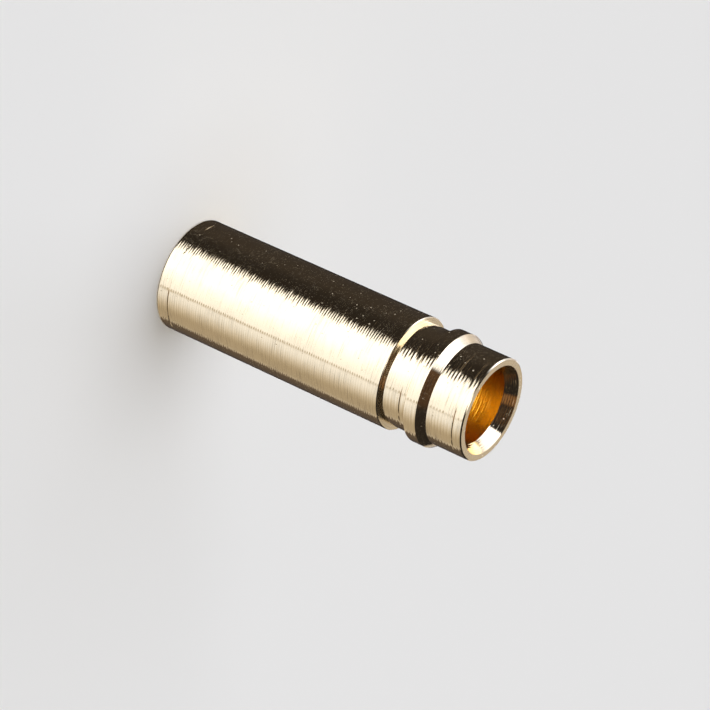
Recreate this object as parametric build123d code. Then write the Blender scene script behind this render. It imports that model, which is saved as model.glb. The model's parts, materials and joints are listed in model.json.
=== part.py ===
from build123d import *
import os
from math import radians, tan

# Driving dimensions, in millimetres and degrees

# Barrel: the long cylinder that holds the plug socket
socket_diameter = 4.0
socket_depth = 8.5  # full-diameter depth, from the rear face
socket_lead_in = 0.2  # chamfer round the socket's mouth
barrel_wall = 0.5
barrel_length = 11.42
rear_edge_break = 0.05  # small bevel on the outer edge of the rear face

# Tail: turned down from the barrel, with a collar left standing on it
groove_depth = 0.25
groove_width = 1.3
collar_land = 0.6  # the collar's cylindrical width
shoulder_length = 0.37  # the cone from the collar down to the neck
neck_length = 1.7
turned_edge_break = 0.03  # bevel on the barrel's front edge and the collar's rear edge

# Solder cup: drilled into the tail from the front rim
cup_wall = 0.55
countersink_width = 0.25
countersink_depth = 0.54
rim_edge_break = 0.05  # bevel on the outer edge of the front rim
web_thickness = 1.0  # metal left on the axis between the two drilled holes
drill_point_angle = 118.0

# Radii that follow from them
socket_radius = socket_diameter / 2
barrel_radius = socket_radius + barrel_wall
tail_radius = barrel_radius - groove_depth
cup_radius = tail_radius - cup_wall

# Heights that follow from them, up the axis from the rear face
groove_end = barrel_length + groove_width
collar_end = groove_end + collar_land
shoulder_end = collar_end + shoulder_length
total_length = shoulder_end + neck_length


def drill_point_height(radius):
    """Height of the cone that a drill leaves at the bottom of a hole."""
    return radius / tan(radians(drill_point_angle / 2))


socket_tip = socket_depth + drill_point_height(socket_radius)
cup_tip = socket_tip + web_thickness
cup_floor = cup_tip + drill_point_height(cup_radius)


def turned(outline):
    """Solid of revolution about +Z from (radius, height) points that start and end on the axis."""
    with BuildPart() as turning:
        with BuildSketch(Plane.XZ):
            with BuildLine():
                Polyline(*outline, close=True)
            make_face()
        revolve(axis=Axis.Z)
    return turning.part


def turned_blank():
    """Outside of the connector: barrel, groove, collar with its sloping shoulder, neck and rim."""
    return turned(
        [
            (0, 0),
            (barrel_radius - rear_edge_break, 0),
            (barrel_radius, rear_edge_break),
            (barrel_radius, barrel_length - turned_edge_break),
            (barrel_radius - turned_edge_break, barrel_length),
            (tail_radius, barrel_length),
            (tail_radius, groove_end),
            (barrel_radius - turned_edge_break, groove_end),
            (barrel_radius, groove_end + turned_edge_break),
            (barrel_radius, collar_end),
            (tail_radius, shoulder_end),
            (tail_radius, total_length - rim_edge_break),
            (tail_radius - rim_edge_break, total_length),
            (0, total_length),
        ]
    )


def plug_socket():
    """Blind hole in the rear face, with a chamfered mouth and a drilled bottom."""
    return turned(
        [
            (0, 0),
            (socket_radius + socket_lead_in, 0),
            (socket_radius, socket_lead_in),
            (socket_radius, socket_depth),
            (0, socket_tip),
        ]
    )


def solder_cup():
    """Blind hole in the front rim, with a countersunk mouth and a drilled bottom."""
    return turned(
        [
            (0, cup_tip),
            (cup_radius, cup_floor),
            (cup_radius, total_length - countersink_depth),
            (cup_radius + countersink_width, total_length),
            (0, total_length),
        ]
    )


connector_body = turned_blank() - plug_socket() - solder_cup()
connector_body.label = "connector_body"

os.makedirs("parts", exist_ok=True)
export_step(connector_body, "parts/connector_body.step")
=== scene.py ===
import json
import math
import random

import bmesh
import bpy
from mathutils import Matrix, Vector


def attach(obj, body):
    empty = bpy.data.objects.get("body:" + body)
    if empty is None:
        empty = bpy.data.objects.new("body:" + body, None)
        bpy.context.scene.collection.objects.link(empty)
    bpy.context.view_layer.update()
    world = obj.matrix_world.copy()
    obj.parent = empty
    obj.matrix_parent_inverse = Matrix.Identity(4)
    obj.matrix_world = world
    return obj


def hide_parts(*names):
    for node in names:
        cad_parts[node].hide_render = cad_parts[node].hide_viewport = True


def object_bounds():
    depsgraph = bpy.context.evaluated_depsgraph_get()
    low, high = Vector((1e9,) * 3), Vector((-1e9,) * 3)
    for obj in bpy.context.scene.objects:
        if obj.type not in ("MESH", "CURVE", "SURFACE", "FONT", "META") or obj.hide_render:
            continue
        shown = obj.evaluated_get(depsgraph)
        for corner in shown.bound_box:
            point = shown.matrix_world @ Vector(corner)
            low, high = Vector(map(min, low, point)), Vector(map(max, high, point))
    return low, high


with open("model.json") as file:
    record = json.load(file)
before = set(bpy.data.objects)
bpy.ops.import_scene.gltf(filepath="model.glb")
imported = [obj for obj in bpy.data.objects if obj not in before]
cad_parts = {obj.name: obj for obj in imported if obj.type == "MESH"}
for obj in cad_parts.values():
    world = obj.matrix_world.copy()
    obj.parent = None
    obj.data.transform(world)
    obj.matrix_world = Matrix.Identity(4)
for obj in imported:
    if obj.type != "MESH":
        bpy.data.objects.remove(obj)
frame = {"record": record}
cad_low, cad_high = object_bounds()

MM = 0.001

# Sizes of the connector, in millimetres, as in the solid
BARREL_RADIUS = cad_high.x / MM
TOTAL_LENGTH = cad_high.z / MM
MOUNTS = {mount["name"]: mount for mount in frame["record"]["mounts"]}
SOCKET_RADIUS = MOUNTS["plug_socket"]["dims"]["r_mm"]
CUP_RADIUS = MOUNTS["solder_cup"]["dims"]["r_mm"]
BARREL_LENGTH = 11.42
GROOVE_DEPTH = 0.25
GROOVE_WIDTH = 1.3
COLLAR_LAND = 0.6
SHOULDER_LENGTH = 0.37
COUNTERSINK_WIDTH = 0.25
COUNTERSINK_DEPTH = 0.54
RIM_EDGE_BREAK = 0.05
REAR_EDGE_BREAK = 0.05
TURNED_EDGE_BREAK = 0.03
SOCKET_LEAD_IN = 0.2
SOCKET_DEPTH = 8.5
WEB_THICKNESS = 1.0
DRILL_POINT_ANGLE = 118.0

# Radii and heights that follow from them
TAIL_RADIUS = BARREL_RADIUS - GROOVE_DEPTH
MOUTH_RADIUS = CUP_RADIUS + COUNTERSINK_WIDTH
GROOVE_END = BARREL_LENGTH + GROOVE_WIDTH
COLLAR_END = GROOVE_END + COLLAR_LAND
SHOULDER_END = COLLAR_END + SHOULDER_LENGTH
NECK_END = TOTAL_LENGTH - RIM_EDGE_BREAK
COUNTERSINK_FLOOR = TOTAL_LENGTH - COUNTERSINK_DEPTH
DRILL_SLOPE = math.tan(math.radians(DRILL_POINT_ANGLE / 2))
SOCKET_TIP = SOCKET_DEPTH + SOCKET_RADIUS / DRILL_SLOPE
CUP_TIP = SOCKET_TIP + WEB_THICKNESS
CUP_FLOOR = CUP_TIP + CUP_RADIUS / DRILL_SLOPE

# Turning marks, in millimetres: how far the tool moves in one turn, and how deep its hollows are.
# A share of the depth is drawn for each hollow, and a smaller one for each cusp between two hollows.
TURNING_SEED = 11
BARREL_FEED, BARREL_MARK = 0.115, 0.0033
TAIL_FEED, TAIL_MARK = 0.15, 0.005
BORE_FEED, BORE_MARK = 0.1, 0.0042
MOUTH_FEED, MOUTH_MARK = 0.09, 0.0028
HOLLOW_SHARES = (0.4, 1.0)
CUSP_SHARES = (0.0, 0.2)
SEGMENTS = 256

# Scored lines and a nick, cut in across the marks. Angles are in degrees from the camera's side, left
# positive, and a line fades out at its reach on either side of its angle. The marks stop a little short
# of each line, by a number of its half widths.
DENT_HALF_WIDTH = 0.03
DENT_CLEARANCE = 1.3
DENTS = (
    dict(angle=-45.0, reach=50.0, height=0.58, depth=0.0145),
    dict(angle=20.0, reach=5.0, height=0.58, depth=0.03),
    dict(angle=57.0, reach=11.0, height=0.58, depth=0.009),
    dict(angle=-38.0, reach=36.0, height=12.35, depth=0.0135),
    dict(angle=-36.0, reach=40.0, height=14.95, depth=0.0135),
)

# Finishes of the gold plate: colour, roughness, and height of the fine tool lines in millimetres
# The turned, faced and countersunk colours are a paler gold than the bored one: painted highlight, a wash
# that stands in for bright light bleaching the gold's colour.
FINISHES = {
    "turned": dict(colour=(0.94, 0.76, 0.46), roughness=0.09, line_height=0.0026),
    "faced": dict(colour=(0.94, 0.77, 0.48), roughness=0.26, line_height=0.004),
    "countersunk": dict(colour=(0.94, 0.76, 0.46), roughness=0.08, line_height=0.006),
    "bored": dict(colour=(0.90, 0.65, 0.19), roughness=0.18, line_height=0.006, pitted=False),
}

# Tool lines, wear, dust and pits. Lengths are in millimetres, and a band is the pair of noise values
# between which the effect sets in.
LINES_PER_MM = 20.0
LINE_LENGTH = 1.2
HAIRLINE_BAND = (0.5, 0.7)
HAIRLINE_SHARE = 0.7
WEAR_PER_MM = 1.1
WEAR_BAND = (0.35, 0.65)
WEAR_ROUGHNESS = 0.04
WEAR_SHARE = 0.15
WORN_SHADE = 0.72
UNWORN_DIRT = 0.35
DUST_PER_MM = 11.0
DUST_BAND = (0.45, 0.75)
DUST_SHARE = 0.06
PIT_SPACING = 0.2
PIT_SIZE = 0.038
PIT_EDGE = 0.4
PIT_DEPTH = 0.006
PIT_ROUGHNESS = 0.4
SMALL_PITS = 2.0
COARSE_DETAIL = 4.0
FINE_DETAIL = 2.0

# The photograph's camera, in degrees, millimetres and pixels. It looks at a point on the axis, moved a
# little in the picture's own plane.
CAMERA_AZIMUTH = 45.0
CAMERA_ELEVATION = 27.31
CAMERA_ROLL = 114.48
CAMERA_DISTANCE = 125.58
CAMERA_FOCAL_PIXELS = 3023.5
CAMERA_CLIP = (10.0, 10000.0)
PICTURE_SIDE = 710
SENSOR_WIDTH = 36.0
AIM_HEIGHT = 8.07
AIM_RIGHT = 0.377
AIM_UP = -0.461

CAMERA_TURN = math.radians(CAMERA_AZIMUTH)
TOWARD_CAMERA = Vector((math.sin(CAMERA_TURN), -math.cos(CAMERA_TURN), 0.0))
LEFT_OF_CAMERA = Vector((-math.cos(CAMERA_TURN), -math.sin(CAMERA_TURN), 0.0))

# Softboxes of the studio, as seen from the connector. Azimuths count from the camera's side, positive to
# the left of the upright connector, and elevations from the horizon, all in degrees. Edges and rise are
# the soft widths outside the azimuths and inside the elevations. Brightness runs over the azimuths of the
# gradient. Lean slants the two ends, and slope makes a box brighter upward: degrees of azimuth, and a
# share of the brightness, per degree above the elevation that the barrel mirrors to the camera, up to the
# lean's reach. A box that starts at DOWN or ends at UP has no edge there.
DOWN = -100
UP = 96
COOL = (0.92, 1.06, 1.5)
SOFTBOXES = {
    "key": dict(
        azimuth=(-44, 34.5), edges=(3, 5), lean=(0, 1.75), elevation=(DOWN, 13), rise=6,
        gradient=(-43, 5), brightness=(1.2, 1.8),
    ),
    "seam": dict(azimuth=(-49, -47), edges=(3, 3), elevation=(DOWN, 10), rise=4, brightness=(0.5, 0.5)),
    "seam_high": dict(azimuth=(-49, -47), edges=(3, 3), elevation=(-32, 10), rise=6, brightness=(0.45, 0.45)),
    "tan_near": dict(
        azimuth=(-96, -52), edges=(4, 3), slope=0.008, elevation=(DOWN, 7), rise=4,
        gradient=(-100, -50), brightness=(0.42, 1.06),
    ),
    "tan_far": dict(
        azimuth=(-124, -100), edges=(3, 4), lean=(0.35, 0), slope=0.008, elevation=(DOWN, -5), rise=3,
        brightness=(0.42, 0.42),
    ),
    "brown_card": dict(
        azimuth=(-176, -122), edges=(4, 4), elevation=(DOWN, -12), rise=6, brightness=(0.04, 0.1),
    ),
    "left_glow": dict(
        azimuth=(100, 150), edges=(35, 35), elevation=(DOWN, -12), rise=8, brightness=(0.02, 0.02),
    ),
    "left_base": dict(
        azimuth=(47, 165), edges=(6, 6), elevation=(-19, 12), rise=2.5, brightness=(0.27, 0.27),
    ),
    "left_low": dict(
        azimuth=(47, 165), edges=(6, 6), elevation=(-15, 40), rise=8,
        tint=(0.96, 1.02, 1.3), gradient=(95, 130), brightness=(0.8, 0.45),
    ),
    "left_mid": dict(
        azimuth=(47, 165), edges=(6, 6), elevation=(2, 40), rise=10,
        tint=COOL, gradient=(95, 130), brightness=(0.8, 0.4),
    ),
    "left_high": dict(
        azimuth=(47, 165), edges=(7, 6), elevation=(14, 50), rise=14, tint=COOL, brightness=(1.5, 1.5),
    ),
    "left_top": dict(
        azimuth=(34, 42), edges=(9, 5), elevation=(33, 44), rise=3,
        tint=(0.95, 1.03, 1.35), brightness=(1.5, 1.5),
    ),
    "back_card": dict(azimuth=(165, 205), edges=(5, 5), elevation=(-20, 46), rise=4, brightness=(0.5, 0.5)),
    "front_card": dict(
        azimuth=(-50, -34), edges=(10, 10), elevation=(8, 26), rise=3,
        tint=(1.0, 0.5, 0.2), brightness=(0.22, 0.22),
    ),
    "front_glow": dict(
        azimuth=(-45, 22), edges=(22, 10), elevation=(24, 46), rise=3,
        tint=(1.0, 0.5, 0.22), brightness=(0.05, 0.08),
    ),
    "overhead": dict(azimuth=(-179, 179), edges=(1, 1), elevation=(62, UP), rise=6, brightness=(3.4, 3.4)),
}
LEAN_REACH = 14.0
AMBIENT = 0.024
# Colour of the untinted light by its brightness, from the studio's dim corners to the softboxes
LIGHT_COLOURS = (
    (0.03, (1.0, 0.87, 0.86)),
    (0.12, (1.0, 0.80, 0.69)),
    (0.45, (1.0, 0.90, 0.80)),
    (1.0, (0.95, 1.02, 1.28)),
)
GLOSSY_BOUNCES = 8

# Floor, in millimetres, and backdrop. The floor's colour is warm enough to look neutral under the cool
# softboxes, and the backdrop's is that of the lit floor.
FLOOR_SIDE = 600.0
FLOOR_COLOUR = (0.82, 0.758, 0.595)
FLOOR_ROUGHNESS = 0.8
BACKDROP_COLOUR = (0.776, 0.775, 0.774)


def outline():
    """Half section as (radius, height, finish) points, from the socket's bottom round to the cup's."""
    draw = random.Random(TURNING_SEED)

    def marks(radius, start, end, feed, depth, finish, last_radius=None):
        """Turning marks from one height to another, a hollow and a cusp for each turn.

        Each dent in their way gets three plain rings. Hollows in an inner wall have a negative depth.
        """
        turns = max(1, round(abs(end - start) / feed))
        dented = {dent["height"] for dent in DENTS if start < dent["height"] < end}
        widening = 0.0 if last_radius is None else last_radius - radius
        points = []
        for half_turn in range(1, 2 * turns):
            along = half_turn / (2 * turns)
            height = start + (end - start) * along
            share = draw.uniform(*(HOLLOW_SHARES if half_turn % 2 else CUSP_SHARES))
            if all(abs(height - middle) > DENT_CLEARANCE * DENT_HALF_WIDTH for middle in dented):
                points.append((radius + widening * along - depth * share, height, finish))
        for middle in dented:
            for side in (-DENT_HALF_WIDTH, 0.0, DENT_HALF_WIDTH):
                points.append((radius, middle + side, finish))
        return sorted(points, key=lambda point: point[1], reverse=end < start)

    edge = TURNED_EDGE_BREAK
    barrel = (BARREL_RADIUS, REAR_EDGE_BREAK, BARREL_LENGTH - edge)
    groove = (TAIL_RADIUS, BARREL_LENGTH, GROOVE_END)
    collar = (BARREL_RADIUS, GROOVE_END + edge, COLLAR_END)
    neck = (TAIL_RADIUS, SHOULDER_END, NECK_END)
    mouth = (MOUTH_RADIUS, TOTAL_LENGTH, COUNTERSINK_FLOOR)
    cup = (CUP_RADIUS, COUNTERSINK_FLOOR, CUP_FLOOR)
    return [
        (0.0, SOCKET_TIP, "bored"),
        (SOCKET_RADIUS, SOCKET_DEPTH, "bored"),
        (SOCKET_RADIUS, SOCKET_LEAD_IN, "bored"),
        (SOCKET_RADIUS + SOCKET_LEAD_IN, 0.0, "faced"),
        (BARREL_RADIUS - REAR_EDGE_BREAK, 0.0, "turned"),
        (BARREL_RADIUS, REAR_EDGE_BREAK, "turned"),
        *marks(*barrel, BARREL_FEED, BARREL_MARK, "turned"),
        (BARREL_RADIUS, BARREL_LENGTH - edge, "turned"),
        (BARREL_RADIUS - edge, BARREL_LENGTH, "faced"),
        (TAIL_RADIUS, BARREL_LENGTH, "turned"),
        *marks(*groove, TAIL_FEED, TAIL_MARK, "turned"),
        (TAIL_RADIUS, GROOVE_END, "faced"),
        (BARREL_RADIUS - edge, GROOVE_END, "turned"),
        (BARREL_RADIUS, GROOVE_END + edge, "turned"),
        *marks(*collar, TAIL_FEED, TAIL_MARK, "turned"),
        (BARREL_RADIUS, COLLAR_END, "turned"),
        (TAIL_RADIUS, SHOULDER_END, "turned"),
        *marks(*neck, TAIL_FEED, TAIL_MARK, "turned"),
        (TAIL_RADIUS, NECK_END, "turned"),
        (TAIL_RADIUS - RIM_EDGE_BREAK, TOTAL_LENGTH, "faced"),
        (MOUTH_RADIUS, TOTAL_LENGTH, "countersunk"),
        *marks(*mouth, MOUTH_FEED, -MOUTH_MARK, "countersunk", last_radius=CUP_RADIUS),
        (CUP_RADIUS, COUNTERSINK_FLOOR, "bored"),
        *marks(*cup, BORE_FEED, -BORE_MARK, "bored"),
        (CUP_RADIUS, CUP_FLOOR, "bored"),
        (0.0, CUP_TIP, "bored"),
    ]


def dent_depth(angle, height):
    """How far the dents reach in at a place on the outside."""
    depth = 0.0
    for dent in DENTS:
        along = (angle - dent["angle"]) / dent["reach"]
        across = abs(height - dent["height"]) / DENT_HALF_WIDTH
        depth += dent["depth"] * max(0.0, 1.0 - along * along) * max(0.0, 1.0 - across)
    return depth


def turned_piece(name, points, materials):
    """Mesh of revolution about +Z. Each point's finish is that of the face that follows it."""
    finishes = list(materials)
    mesh = bmesh.new()
    rings = []
    for radius, height, _ in points:
        if radius == 0.0:
            rings.append([mesh.verts.new((0.0, 0.0, height * MM))] * SEGMENTS)
            continue
        ring = []
        for step in range(SEGMENTS):
            angle = 360 * step / SEGMENTS - 180
            reach = radius - (dent_depth(angle, height) if radius >= TAIL_RADIUS else 0.0)
            turn = math.radians(angle)
            side = TOWARD_CAMERA * math.cos(turn) + LEFT_OF_CAMERA * math.sin(turn)
            ring.append(mesh.verts.new((side * reach + Vector((0.0, 0.0, height))) * MM))
        rings.append(ring)
    for index, (lower, upper) in enumerate(zip(rings, rings[1:])):
        for step in range(SEGMENTS):
            after = (step + 1) % SEGMENTS
            corners = [lower[step], upper[step], upper[after], lower[after]]
            face = mesh.faces.new(list(dict.fromkeys(corners)))
            face.smooth = True
            face.material_index = finishes.index(points[index][2])
    for ring in rings[1:-1]:
        for step in range(SEGMENTS):
            edge = mesh.edges.get((ring[step], ring[(step + 1) % SEGMENTS]))
            edge.smooth = False
    bmesh.ops.recalc_face_normals(mesh, faces=mesh.faces)
    data = bpy.data.meshes.new(name)
    mesh.to_mesh(data)
    mesh.free()
    for finish in finishes:
        data.materials.append(materials[finish])
    piece = bpy.data.objects.new(name, data)
    bpy.context.scene.collection.objects.link(piece)
    return piece


def math_node(tree, operation, *values):
    """Result of a Math node; each value is a number or another node's output."""
    node = tree.nodes.new("ShaderNodeMath")
    node.operation = operation
    for socket, value in zip(node.inputs, values):
        if isinstance(value, (int, float)):
            socket.default_value = value
        else:
            tree.links.new(value, socket)
    return node.outputs["Value"]


def ramp(tree, value, start, end, low, high):
    """Smooth step of value from low at start to high at end."""
    node = tree.nodes.new("ShaderNodeMapRange")
    node.interpolation_type = "SMOOTHSTEP"
    tree.links.new(value, node.inputs["Value"])
    for name, number in (("From Min", start), ("From Max", end), ("To Min", low), ("To Max", high)):
        node.inputs[name].default_value = number
    return node.outputs["Result"]


def mix_colour(tree, share, first, second):
    """Colour between two others. A Mix node has its colours in sockets 6 and 7, and the result in 2."""
    node = tree.nodes.new("ShaderNodeMix")
    node.data_type = "RGBA"
    tree.links.new(share, node.inputs[0])
    node.inputs[6].default_value = (*first, 1.0)
    node.inputs[7].default_value = (*second, 1.0)
    return node.outputs[2]


def vector_node(tree, operation, vector, other=(0.0, 0.0, 0.0)):
    """A Vector Math node on another node's output and a fixed vector."""
    node = tree.nodes.new("ShaderNodeVectorMath")
    node.operation = operation
    tree.links.new(vector, node.inputs[0])
    node.inputs[1].default_value = other
    return node


def place(tree, scale):
    """Place on the connector in millimetres, times a scale along each axis."""
    whole = tree.nodes.new("ShaderNodeTexCoord").outputs["Object"]
    return vector_node(tree, "MULTIPLY", whole, [factor / MM for factor in scale]).outputs["Vector"]


def noise(tree, vector, detail):
    """Soft noise about 1 unit across."""
    node = tree.nodes.new("ShaderNodeTexNoise")
    node.inputs["Scale"].default_value = 1.0
    node.inputs["Detail"].default_value = detail
    tree.links.new(vector, node.inputs["Vector"])
    return node.outputs["Fac"]


def pits(tree):
    """Sparse round specks of many sizes, most of them small, with soft edges."""
    node = tree.nodes.new("ShaderNodeTexVoronoi")
    node.inputs["Scale"].default_value = 1.0
    tree.links.new(place(tree, [1 / PIT_SPACING] * 3), node.inputs["Vector"])
    chance = tree.nodes.new("ShaderNodeSeparateColor")
    tree.links.new(node.outputs["Color"], chance.inputs["Color"])
    reach = math_node(tree, "POWER", chance.outputs["Red"], SMALL_PITS)
    reach = math_node(tree, "MULTIPLY", reach, PIT_SIZE / PIT_SPACING)
    inside = math_node(tree, "SUBTRACT", reach, node.outputs["Distance"])
    return ramp(tree, inside, 0.0, PIT_EDGE * PIT_SIZE / PIT_SPACING, 0.0, 1.0)


def tool_lines(tree, finish):
    """Fine lines left by the tool: rings along the axis, or rings about it on a faced end."""
    if finish == "faced":
        out = vector_node(tree, "LENGTH", place(tree, (LINES_PER_MM, LINES_PER_MM, 0.0))).outputs["Value"]
        combine = tree.nodes.new("ShaderNodeCombineXYZ")
        tree.links.new(out, combine.inputs["X"])
        return noise(tree, combine.outputs["Vector"], FINE_DETAIL)
    return noise(tree, place(tree, (1 / LINE_LENGTH, 1 / LINE_LENGTH, LINES_PER_MM)), FINE_DETAIL)


def new_material(name):
    """A material with nodes, its node tree and its shader."""
    material = bpy.data.materials.new(name)
    material.use_nodes = True
    tree = material.node_tree
    return material, tree, tree.nodes["Principled BSDF"]


def gold(finish, colour, roughness, line_height, pitted=True):
    """Gold plate of one finish, with tool lines, a little wear, a trace of dull dust and often pits."""
    material, tree, shader = new_material("gold_" + finish)
    wear = ramp(tree, noise(tree, place(tree, [WEAR_PER_MM] * 3), COARSE_DETAIL), *WEAR_BAND, 0.0, 1.0)
    dirt = math_node(tree, "ADD", wear, UNWORN_DIRT)

    dust = noise(tree, place(tree, [DUST_PER_MM] * 3), FINE_DETAIL)
    dust = math_node(tree, "MULTIPLY", ramp(tree, dust, *DUST_BAND, 0.0, DUST_SHARE), dirt)
    tree.links.new(math_node(tree, "SUBTRACT", 1.0, dust), shader.inputs["Metallic"])

    lines = tool_lines(tree, finish)
    hairlines = math_node(tree, "MULTIPLY", ramp(tree, lines, *HAIRLINE_BAND, 0.0, HAIRLINE_SHARE), dirt)
    dull = math_node(tree, "MULTIPLY_ADD", wear, WEAR_SHARE, hairlines)
    worn_colour = [WORN_SHADE * channel for channel in colour]
    tree.links.new(mix_colour(tree, dull, colour, worn_colour), shader.inputs["Base Color"])

    rough = math_node(tree, "MULTIPLY_ADD", wear, WEAR_ROUGHNESS, roughness - WEAR_ROUGHNESS / 2)
    height = math_node(tree, "MULTIPLY", lines, line_height)
    if pitted:
        specks = pits(tree)
        rough = math_node(tree, "MULTIPLY_ADD", specks, PIT_ROUGHNESS, rough)
        height = math_node(tree, "MULTIPLY_ADD", specks, -PIT_DEPTH, height)
    tree.links.new(rough, shader.inputs["Roughness"])
    bump = tree.nodes.new("ShaderNodeBump")
    bump.inputs["Distance"].default_value = MM
    tree.links.new(height, bump.inputs["Height"])
    tree.links.new(bump.outputs["Normal"], shader.inputs["Normal"])
    return material


def photo_camera():
    """Camera of the photograph, rolled about its line of sight as the connector lies in the picture."""
    elevation = math.radians(CAMERA_ELEVATION)
    roll = math.radians(CAMERA_ROLL)
    back = TOWARD_CAMERA * math.cos(elevation) + Vector((0.0, 0.0, math.sin(elevation)))
    level_up = back.cross(-LEFT_OF_CAMERA)
    right = -LEFT_OF_CAMERA * math.cos(roll) + level_up * math.sin(roll)
    up = back.cross(right)
    data = bpy.data.cameras.new("photo_camera")
    data.sensor_width = SENSOR_WIDTH
    data.lens = SENSOR_WIDTH * CAMERA_FOCAL_PIXELS / PICTURE_SIDE
    data.clip_start, data.clip_end = (bound * MM for bound in CAMERA_CLIP)
    camera = bpy.data.objects.new("photo_camera", data)
    aim = Vector((0.0, 0.0, AIM_HEIGHT)) + right * AIM_RIGHT + up * AIM_UP
    camera.location = (aim + back * CAMERA_DISTANCE) * MM
    camera.rotation_mode = "QUATERNION"
    camera.rotation_quaternion = Matrix((right, up, back)).transposed().to_quaternion()
    bpy.context.scene.collection.objects.link(camera)
    bpy.context.scene.camera = camera


def floor():
    """Pale floor that the connector stands on. The gold mirrors the softboxes, not the floor."""
    half = FLOOR_SIDE / 2 * MM
    corners = [(-half, -half, 0), (half, -half, 0), (half, half, 0), (-half, half, 0)]
    data = bpy.data.meshes.new("floor")
    data.from_pydata(corners, [], [(0, 1, 2, 3)])
    plane = bpy.data.objects.new("floor", data)
    material, _, shader = new_material("floor_paint")
    shader.inputs["Base Color"].default_value = (*FLOOR_COLOUR, 1.0)
    shader.inputs["Roughness"].default_value = FLOOR_ROUGHNESS
    shader.inputs["Specular IOR Level"].default_value = 0.0
    data.materials.append(material)
    plane.visible_glossy = False
    bpy.context.scene.collection.objects.link(plane)


def softbox(
    tree, around, height, azimuth, edges, elevation, rise, brightness, lean=(0, 0), slope=0, gradient=None
):
    """Brightness of one softbox in the direction with the azimuth around and the elevation height."""
    middle = sum(azimuth) / 2
    low, high = (bound - middle for bound in azimuth)
    gradient = [bound - middle for bound in gradient or azimuth]
    above_mirrored = math_node(tree, "ADD", height, CAMERA_ELEVATION)
    above_mirrored = math_node(tree, "MINIMUM", above_mirrored, LEAN_REACH)
    above_mirrored = math_node(tree, "MAXIMUM", above_mirrored, -LEAN_REACH)

    def turn(slant):
        """Azimuth from the box's middle, slanted with the elevation."""
        straight = math_node(tree, "WRAP", math_node(tree, "SUBTRACT", around, middle), 180.0, -180.0)
        return math_node(tree, "MULTIPLY_ADD", above_mirrored, slant, straight)

    light = ramp(tree, turn(0), *gradient, *brightness)
    factors = (
        math_node(tree, "MULTIPLY_ADD", above_mirrored, slope, 1.0),
        ramp(tree, turn(lean[0]), low - edges[0], low, 0.0, 1.0),
        ramp(tree, turn(lean[1]), high, high + edges[1], 1.0, 0.0),
        ramp(tree, height, elevation[0], elevation[0] + rise, 0.0, 1.0),
        ramp(tree, height, elevation[1] - rise, elevation[1], 1.0, 0.0),
    )
    for factor in factors:
        light = math_node(tree, "MULTIPLY", light, factor)
    return light


def light_colour(tree, brightness):
    """Colour of untinted light of that brightness."""
    node = tree.nodes.new("ShaderNodeValToRGB")
    stops = node.color_ramp.elements
    while len(stops) < len(LIGHT_COLOURS):
        stops.new(0.5)
    for stop, (position, colour) in zip(stops, LIGHT_COLOURS):
        stop.position = position
        stop.color = (*colour, 1.0)
    tree.links.new(brightness, node.inputs["Fac"])
    return node.outputs["Color"]


def scaled(tree, amount, colour):
    """A colour, given or from another node's output, times an amount."""
    node = tree.nodes.new("ShaderNodeVectorMath")
    node.operation = "SCALE"
    if isinstance(colour, tuple):
        node.inputs[0].default_value = colour
    else:
        tree.links.new(colour, node.inputs[0])
    tree.links.new(amount, node.inputs["Scale"])
    return node.outputs["Vector"]


def studio_light(tree):
    """Colour of the studio's light in each direction: the untinted softboxes and the tinted ones."""
    direction = tree.nodes.new("ShaderNodeTexCoord").outputs["Generated"]
    toward = vector_node(tree, "DOT_PRODUCT", direction, TOWARD_CAMERA).outputs["Value"]
    leftward = vector_node(tree, "DOT_PRODUCT", direction, LEFT_OF_CAMERA).outputs["Value"]
    upward = vector_node(tree, "DOT_PRODUCT", direction, (0.0, 0.0, 1.0)).outputs["Value"]
    around = math_node(tree, "DEGREES", math_node(tree, "ARCTAN2", leftward, toward))
    height = math_node(tree, "DEGREES", math_node(tree, "ARCSINE", upward))
    plain = AMBIENT
    tinted = []
    for box in SOFTBOXES.values():
        shape = {name: value for name, value in box.items() if name != "tint"}
        brightness = softbox(tree, around, height, **shape)
        if "tint" in box:
            tinted.append(scaled(tree, brightness, box["tint"]))
        else:
            plain = math_node(tree, "ADD", brightness, plain)
    total = scaled(tree, plain, light_colour(tree, plain))
    for colour in tinted:
        adding = vector_node(tree, "ADD", total)
        tree.links.new(colour, adding.inputs[1])
        total = adding.outputs["Vector"]
    return total


def studio():
    """Dark studio with large soft lights round the connector, and a plain pale backdrop to look at."""
    world = bpy.data.worlds.new("studio")
    bpy.context.scene.world = world
    world.use_nodes = True
    tree = world.node_tree
    light = tree.nodes["Background"]
    tree.links.new(studio_light(tree), light.inputs["Color"])
    backdrop = tree.nodes.new("ShaderNodeBackground")
    backdrop.inputs["Color"].default_value = (*BACKDROP_COLOUR, 1.0)
    seen = tree.nodes.new("ShaderNodeMixShader")
    tree.links.new(tree.nodes.new("ShaderNodeLightPath").outputs["Is Camera Ray"], seen.inputs["Fac"])
    tree.links.new(light.outputs["Background"], seen.inputs[1])
    tree.links.new(backdrop.outputs["Background"], seen.inputs[2])
    tree.links.new(seen.outputs["Shader"], tree.nodes["World Output"].inputs["Surface"])


materials = {finish: gold(finish, **look) for finish, look in FINISHES.items()}
body = turned_piece("connector_body_turned", outline(), materials)
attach(body, "root")
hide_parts("connector_body")

photo_camera()
floor()
studio()
bpy.context.scene.view_settings.view_transform = "Standard"
bpy.context.scene.cycles.glossy_bounces = GLOSSY_BOUNCES
